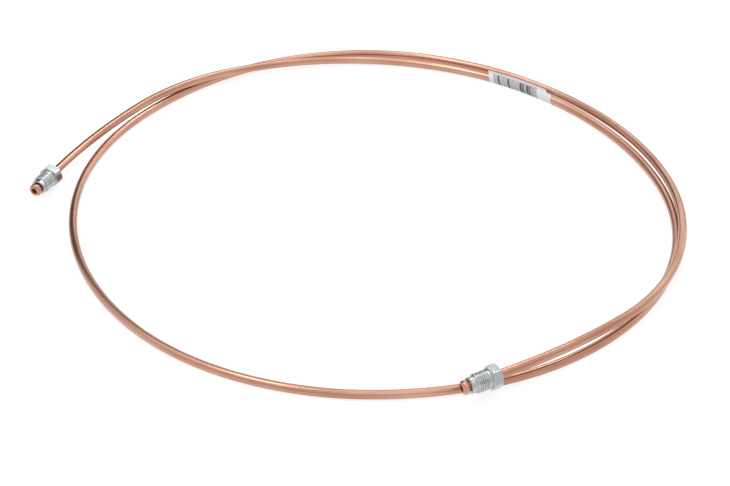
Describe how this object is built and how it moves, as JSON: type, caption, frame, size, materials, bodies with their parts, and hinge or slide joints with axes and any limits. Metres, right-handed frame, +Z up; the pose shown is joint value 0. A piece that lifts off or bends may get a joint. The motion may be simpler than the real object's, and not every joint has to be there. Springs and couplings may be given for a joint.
{
  "type": "brake line",
  "caption": "Coiled copper-nickel hydraulic brake pipe with a domed flare and a turning male tube nut at each end, and a paper label with plain bars round the pipe",
  "frame": {"origin": "on the floor the coil lies on, under the middle of the pipe's route", "axes": "+Z up, the coil lies flat in XY, the picture looks along +Y and down, the left nut is at -X, the front nut at -Y"},
  "size_m": [0.3655, 0.3442, 0.0163],
  "materials": {
    "copper_nickel": "drawn copper-nickel pipe, half bright, salmon pink to brown",
    "zinc_plate": "bright zinc-plated steel, turned, with a fine thread",
    "label_paper": "matt white paper with plain grey bars"
  },
  "bodies": {
    "pipe": {"brake_pipe": "copper_nickel", "paper_label": "label_paper"},
    "left_nut": {"left_tube_nut": "zinc_plate"},
    "front_nut": {"front_tube_nut": "zinc_plate"}
  },
  "joints": [
    {"name": "left_nut_spin", "type": "hinge", "parent": "pipe", "child": "left_nut", "pos_m": [-0.17528, 0.01578, 0.00644], "axis": [-0.3955, -0.9184, 0], "continuous": true},
    {"name": "front_nut_spin", "type": "hinge", "parent": "pipe", "child": "front_nut", "pos_m": [0.06235, -0.16367, 0.01071], "axis": [-0.8746, -0.4848, 0], "continuous": true}
  ]
}
